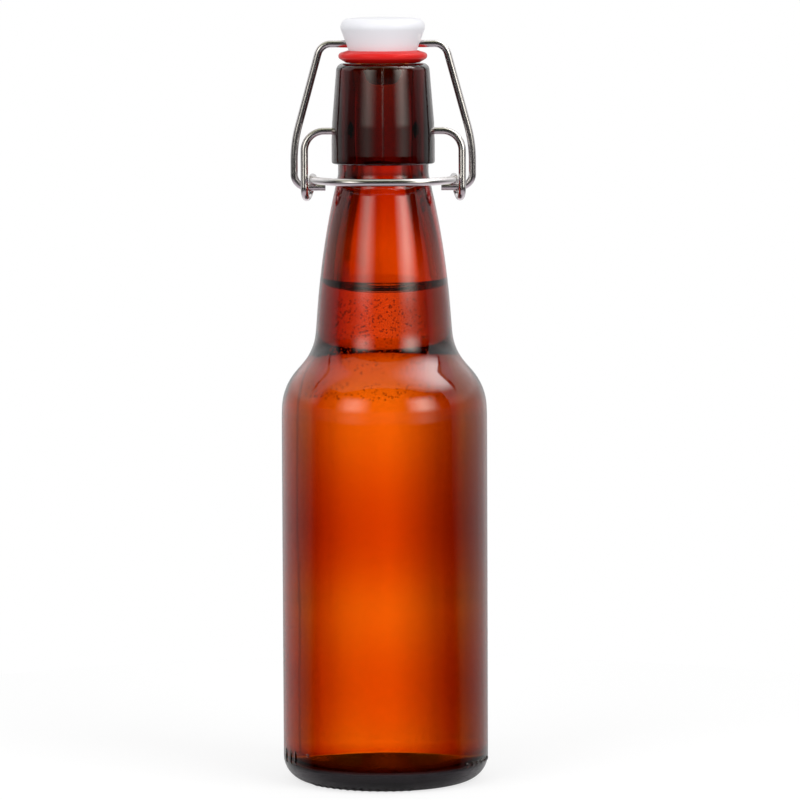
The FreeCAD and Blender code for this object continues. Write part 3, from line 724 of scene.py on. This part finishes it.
def red_rubber(look):
    """Smooth rubber with a soft sheen."""
    material, tree, shader = new_material("Red rubber")
    feed(tree, shader, Base_Color=(*look.rubber, 1), Specular_IOR_Level=0.35)
    finish_surface(tree, shader, bump=0.05, distance=0.2 * MM, Gloss=0.28, Smear=0.2, Scale=120.0)
    return material


def steel_wire(look):
    """Bright drawn wire."""
    material, tree, shader = new_material("Steel wire")
    feed(tree, shader, Base_Color=(*look.steel, 1), Metallic=1)
    finish_surface(tree, shader, bump=0.003, distance=0.1 * MM, Gloss=0.2, Smear=0.1, Scale=60.0)
    return material


def pale_floor(studio):
    """White floor; gloss and glass see past it, save for the patch under the bottle."""
    material, tree, shader = new_material("Pale floor")
    tree.nodes.remove(shader)
    rays = tree.nodes.new("ShaderNodeLightPath").outputs
    where = tree.nodes.new("ShaderNodeTexCoord").outputs["Object"]
    patch_start, patch_end = (studio.floor_patch * edge for edge in PATCH_EDGE)
    off_patch = distance_between(tree, where, (0, 0, 0)).ramp(patch_start, patch_end)
    past = off_patch * maths(tree, "MAXIMUM", rays["Is Transmission Ray"], rays["Is Glossy Ray"])
    matte = put(tree, "ShaderNodeBsdfDiffuse", Color=FLOOR_GREY)
    shine = maths(tree, "MULTIPLY", rays["Is Camera Ray"], FLOOR_GLOW)
    glow = put(tree, "ShaderNodeEmission", Color=WHITE, Strength=shine)
    both = tree.nodes.new("ShaderNodeAddShader")
    tree.links.new(matte.outputs[0], both.inputs[0])
    tree.links.new(glow.outputs[0], both.inputs[1])
    through = tree.nodes.new("ShaderNodeBsdfTransparent")
    mixed = put(tree, "ShaderNodeMixShader", Fac=past)
    tree.links.new(both.outputs[0], mixed.inputs[1])
    tree.links.new(through.outputs[0], mixed.inputs[2])
    feed(tree, tree.nodes["Material Output"], Surface=mixed.outputs[0])
    return material


def mirrored_room(tree, across, depth, height):
    """Room as gloss shows it: bright back, sides, ceiling and table, and two panels in a dark front."""
    beside = across / height
    behind = depth / height
    overhead = height.ramp(*OVERHEAD)

    sides = height.ramp(*LOW_SIDES) * LOW_SIDES_LIGHT + height.ramp(*HIGH_SIDES) * HIGH_SIDES_LIGHT
    left = depth.ramp(*LEFT_FRONT) * across.ramp(*LEFT_HALF)
    right = depth.ramp(*RIGHT_FRONT) * across.ramp(*RIGHT_HALF)
    walls = (sides + depth * BACK_LIGHT) * (left + right)
    walls = walls * (1 - depth.ramp(*BACK_MIDDLE) * BACK_MIDDLE_SHADE)
    walls = walls * (1 - behind.window(*BEAM) * overhead * BEAM_SHADE)
    veil = height.window(*VEIL) * VEIL_LIGHT
    ceiling = height.ramp(*CEILING) * behind.ramp(*CEILING_FRONT) * CEILING_LIGHT
    table = height.ramp(*TABLE)

    on_ceiling = put(tree, "ShaderNodeCombineXYZ", X=beside, Y=behind).outputs["Vector"]
    skylight = distance_between(tree, on_ceiling, SKYLIGHT_MIDDLE).ramp(*SKYLIGHT_REACH) * overhead
    skylight = skylight * behind.ramp(*SKYLIGHT_BACK) * SKYLIGHT_LIGHT

    azimuth = maths(tree, "ARCTAN2", across, depth * -1)
    tall = height.window(*PANEL_HEIGHT).larger(height.window(*PANEL_FOOT) * PANEL_FOOT_LIGHT)
    panels = 0
    for middle, brightness in PANELS:
        edges = (middle - PANEL_HALF_WIDTH, middle + PANEL_HALF_WIDTH, PANEL_SOFTNESS)
        panels = panels + azimuth.window(*map(math.radians, edges)) * tall * brightness

    light = [walls.larger(ceiling * ceiling_tint + veil) + skylight + panels * panel_tint + table * table_tint
             for ceiling_tint, panel_tint, table_tint in zip(CEILING_TINT, PANEL_TINT, TABLE_TINT)]
    return put(tree, "ShaderNodeCombineColor", Red=light[0], Green=light[1], Blue=light[2]).outputs["Color"]


def room_through_glass(tree, across, height):
    """Room as seen through the glass: a low bright wall behind, warm dim sides and dark above."""
    off_middle = abs(across - WALL_MIDDLE)
    aside = abs(across)
    upper = height.ramp(*UPPER_WALL)

    red = across * RED_SLOPE + SIDE_RED + height.ramp(*LOWER_WALL) * LOWER_RED - upper * UPPER_RED
    green = across * GREEN_SLOPE + SIDE_GREEN + aside.ramp(*OUTER_SIDES) * OUTER_GREEN + upper * UPPER_GREEN
    seen = put(tree, "ShaderNodeCombineColor", Red=red, Green=green, Blue=SIDE_BLUE).outputs["Color"]
    bands = 1 - maths(tree, "COSINE", (height - BRIGHT_BAND) * BAND_RATE)
    seen = blend(tree, bands * BAND_SHADE * height.window(*BAND_RANGE), seen, BLACK)

    wall = 1 - (off_middle * (1 + upper * UPPER_NARROWING)).ramp(*WALL_EDGE)
    seen = blend(tree, wall.larger(aside.ramp(*WALL_ENDS)), seen, WALL_LIGHT)
    seen = blend(tree, height.ramp(*FOOT) * FOOT_SHADE, seen, BLACK)
    seen = blend(tree, across.window(*POST) * POST_SHADE, seen, BLACK)

    middle = 1 - off_middle.ramp(*DARK_MIDDLE) * DARK_MIDDLE_SHARE
    dark = (height.ramp(*DARK_START) * middle).larger(height.ramp(*DARK_TOP))
    return blend(tree, dark, seen, DARK_LIGHT)


class SWINGTOP_OT_glass(Operator):
    """Make the amber glass bottle"""
    bl_idname = "swingtop.glass"
    bl_label = "Glass bottle"

    def execute(self, context):
        glass = context.scene.swingtop_glass
        outer = outer_outline(glass)
        inner = inner_outline(glass)[1:]
        ledge = glass.lip_height - glass.finish_height

        def relief(index, angle, point):
            """Waves inside, below the finish, and the seam on the outside of the finish."""
            if index >= len(outer):
                return 0 if point.y > ledge else wall_wave(glass, angle, point.y)
            if ledge < point.y < glass.lip_height and point.x > glass.throat_radius:
                return seam_ridge(glass, angle, point.x)
            return 0

        mesh = turned_mesh("bottle_glass", outer + inner, column_angles(glass), relief)
        piece = add_piece("bottle_glass", mesh, amber_glass(glass), "bottle")
        self.add_marks(piece, glass)
        self.cut_dimples(piece, glass)
        soften(piece.data)
        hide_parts("bottle")
        return {"FINISHED"}

    def add_marks(self, piece, glass):
        """Raise the mould's dots, ticks and knurl on the heel."""
        work = bmesh.new()
        heel = Vector((glass.body_radius - glass.heel_radius, glass.heel_radius))
        size = glass.mark_size

        def bead(degrees, height, along, up, out):
            """A low bead on the heel, at an angle from the front."""
            lean = math.asin(max(-1, min(0, (height - heel.y) / glass.heel_radius)))
            radius = heel.x + glass.heel_radius * math.cos(lean)
            spot = Matrix.Rotation(math.radians(degrees) + FRONT, 4, "Z")
            spot = spot @ Matrix.Translation((radius, 0, height)) @ Matrix.Rotation(-lean, 4, "Y")
            spot = spot @ Matrix.Diagonal((out, along, up, 1))
            bmesh.ops.create_uvsphere(work, u_segments=12, v_segments=8, radius=1, matrix=spot)

        for degrees in DOTS:
            bead(degrees, glass.mark_height, size * DOT_WIDTH, size * DOT_WIDTH, size * DOT_RELIEF)
        for degrees in TICKS:
            bead(degrees, glass.mark_height + TICK_RISE, size, glass.tick_length, size * TICK_RELIEF)
        bead(LONE_DOT, glass.mark_height + LONE_DOT_RISE, size, size, size * TICK_RELIEF)
        for degrees in KNURL:
            bead(degrees, KNURL_HEIGHT, size, KNURL_LENGTH, size * KNURL_RELIEF)
        self.join(piece, work, "UNION", "heel_beads")

    def cut_dimples(self, piece, glass):
        """Cut a cone, twice as long as a dimple is deep, into each side of the collar."""
        reach = 2 * glass.dimple_depth
        far = glass.dimple_bottom + 2 * (glass.dimple_mouth - glass.dimple_bottom)
        work = bmesh.new()
        for side in (1, -1):
            middle = side * (glass.collar_radius - glass.dimple_depth + reach / 2)
            place = Matrix.Translation((middle, 0, PIVOT_HEIGHT))
            place = place @ Matrix.Rotation(side * math.pi / 2, 4, "Y")
            bmesh.ops.create_cone(work, cap_ends=True, segments=48, radius1=glass.dimple_bottom, radius2=far,
                                  depth=reach, matrix=place)
        self.join(piece, work, "DIFFERENCE", "dimple_cutter")

    def join(self, piece, work, operation, name):
        """Add a worked solid to the piece's mesh, or take it away."""
        tool = add_object(name, finished_mesh(name, work))
        step = piece.modifiers.new(name, "BOOLEAN")
        step.operation = operation
        step.solver = "EXACT"
        step.object = tool
        shaped = bpy.data.meshes.new_from_object(piece.evaluated_get(bpy.context.evaluated_depsgraph_get()))
        piece.modifiers.clear()
        piece.data = shaped
        bpy.data.objects.remove(tool)


class SWINGTOP_OT_drink(Operator):
    """Fill the bottle with a clear drink"""
    bl_idname = "swingtop.drink"
    bl_label = "Drink"

    def execute(self, context):
        glass = context.scene.swingtop_glass
        drink = context.scene.swingtop_drink
        top = drink.level + drink.meniscus
        wall = [point for point in reversed(inner_outline(glass)) if point.y < top]
        rim = wall[-1].x
        surface = [Vector((rim - drink.meniscus_width * out, drink.level + drink.meniscus * math.exp(-out)))
                   for out in MENISCUS_STEPS]
        points = wall + surface + [Vector((0, drink.level))]

        def relief(index, angle, point):
            """The glass wall's waves, fading over the surface towards the axis."""
            if index >= len(wall):
                return wall_wave(glass, angle, top) * point.x / rim
            return wall_wave(glass, angle, point.y) + drink.overlap

        points[0].y -= drink.overlap
        mesh = turned_mesh("drink", points, column_angles(glass), relief)
        soften(mesh, degrees=60)
        water = clear_drink()
        add_piece("drink", mesh, water, "bottle")
        self.add_bubbles(glass, drink, wall, water)
        return {"FINISHED"}

    def add_bubbles(self, glass, drink, wall, water):
        """Small bubbles that cling to the wall of neck and shoulder under the surface."""
        rng = random.Random(BUBBLE_SEED)
        ball = bmesh.new()
        bmesh.ops.create_icosphere(ball, subdivisions=2, radius=1)
        ball.verts.index_update()
        corners = [vert.co.copy() for vert in ball.verts]
        faces = [[vert.index for vert in face.verts] for face in ball.faces]
        ball.free()
        points = []
        sides = []
        for bubble in range(drink.bubbles):
            height = rng.uniform(*(NECK_BUBBLES if bubble % SHOULDER_TURN else SHOULDER_BUBBLES))
            angle = FRONT + rng.uniform(*BUBBLE_ANGLES)
            size = drink.bubble_size * rng.uniform(*BUBBLE_SIZES)
            upper = next(index for index, point in enumerate(wall) if point.y > height)
            below, above = wall[upper - 1], wall[upper]
            radius = below.lerp(above, (height - below.y) / (above.y - below.y)).x
            radius += wall_wave(glass, angle, height) - size * BUBBLE_STANDOFF
            place = Vector((radius * math.cos(angle), radius * math.sin(angle), height))
            sides += [[len(points) + corner for corner in face] for face in faces]
            points += [place + corner * size for corner in corners]
        mesh = bpy.data.meshes.new("bubbles")
        mesh.from_pydata(points, [], sides)
        soften(mesh, degrees=90)
        add_piece("bubbles", mesh, water, "bottle")


class SWINGTOP_OT_closure(Operator):
    """Finish the stopper, its gasket and the two wires"""
    bl_idname = "swingtop.closure"
    bl_label = "Closure"

    def execute(self, context):
        look = context.scene.swingtop_closure
        wire = steel_wire(look)
        for node, material in (("stopper", white_plastic(look)), ("gasket", red_rubber(look)),
                               ("upper_bail", wire), ("locking_lever", wire)):
            slots = frame["nodes"][node].data.materials
            slots.clear()
            slots.append(material)
        return {"FINISHED"}


class SWINGTOP_OT_studio(Operator):
    """Set up the floor, the soft light and the camera"""
    bl_idname = "swingtop.studio"
    bl_label = "Studio"

    def execute(self, context):
        studio = context.scene.swingtop_studio
        self.make_floor(studio)
        self.make_world(context.scene)
        self.make_lamps(studio)
        self.make_camera(context.scene, studio)
        context.scene.view_settings.view_transform = "Standard"
        return {"FINISHED"}

    def make_floor(self, studio):
        """A pale disc that keeps the bottle's shadow."""
        work = bmesh.new()
        bmesh.ops.create_circle(work, cap_ends=True, segments=96, radius=studio.floor_radius)
        floor = add_object("floor", finished_mesh("floor", work))
        floor.data.materials.append(pale_floor(studio))

    def make_world(self, scene):
        """White to the camera and grey to matte surfaces, with a room each for gloss and for glass."""
        world = bpy.data.worlds.new("Studio")
        scene.world = world
        world.use_nodes = True
        tree = world.node_tree
        tree.nodes.clear()
        output = tree.nodes.new("ShaderNodeOutputWorld")
        rays = tree.nodes.new("ShaderNodeLightPath").outputs
        where = tree.nodes.new("ShaderNodeTexCoord").outputs["Generated"]
        across, depth, height = parts_of(tree, where)
        light = ROOM_GREY
        for ray, room in (("Is Glossy Ray", mirrored_room(tree, across, depth, height)),
                          ("Is Transmission Ray", room_through_glass(tree, across, height)),
                          ("Is Camera Ray", WHITE)):
            light = blend(tree, rays[ray], light, room)
        sky = put(tree, "ShaderNodeBackground", Color=light)
        feed(tree, output, Surface=sky.outputs["Background"])

    def make_lamps(self, studio):
        """Soft lamps in front and above, as bright at any distance; gloss and glass show the rooms."""
        for direction, brightness in LAMPS:
            data = bpy.data.lights.new("soft_lamp", "AREA")
            data.size = studio.lamp_size
            data.energy = brightness * 4 * studio.lamp_distance ** 2 * math.pi
            lamp = add_object("soft_lamp", data)
            away = Vector(direction).normalized()
            lamp.location = Vector(studio.aim) + away * studio.lamp_distance
            lamp.rotation_euler = (-away).to_track_quat("-Z", "Y").to_euler()
            lamp.visible_camera = False
            lamp.visible_glossy = False
            lamp.visible_transmission = False

    def make_camera(self, scene, studio):
        """A long lens that looks down a little on the bottle's front."""
        data = bpy.data.cameras.new("camera")
        data.sensor_width = SENSOR_WIDTH
        data.lens = studio.lens
        camera = add_object("camera", data)
        back = Vector((0, -math.cos(studio.pitch), math.sin(studio.pitch)))
        camera.location = Vector(studio.aim) + back * studio.distance
        look = (-back).to_track_quat("-Z", "Y").to_matrix() @ Matrix.Rotation(studio.roll, 3, "Z")
        camera.rotation_euler = look.to_euler()
        scene.camera = camera


class SWINGTOP_PT_panel(Panel):
    """Steps that make and dress the swing top bottle"""
    bl_label = "Swing top bottle"
    bl_idname = "SWINGTOP_PT_panel"
    bl_space_type = "VIEW_3D"
    bl_region_type = "UI"
    bl_category = "Bottle"

    def draw(self, context):
        for step in STEPS:
            self.layout.operator(step.bl_idname)


SETTINGS = {
    "swingtop_glass": GlassSettings,
    "swingtop_drink": DrinkSettings,
    "swingtop_closure": ClosureSettings,
    "swingtop_studio": StudioSettings,
}
STEPS = [SWINGTOP_OT_glass, SWINGTOP_OT_drink, SWINGTOP_OT_closure, SWINGTOP_OT_studio]
CLASSES = [*SETTINGS.values(), *STEPS, SWINGTOP_PT_panel]


def register():
    """Register the classes and give each scene the settings."""
    for made in CLASSES:
        bpy.utils.register_class(made)
    for name, settings in SETTINGS.items():
        setattr(bpy.types.Scene, name, PointerProperty(type=settings))


def unregister():
    """Undo what register did."""
    for name in SETTINGS:
        delattr(bpy.types.Scene, name)
    for made in reversed(CLASSES):
        bpy.utils.unregister_class(made)


def main():
    """Make the pieces and the studio."""
    register()
    bpy.ops.swingtop.glass()
    bpy.ops.swingtop.drink()
    bpy.ops.swingtop.closure()
    bpy.ops.swingtop.studio()


if __name__ == "__main__":
    main()
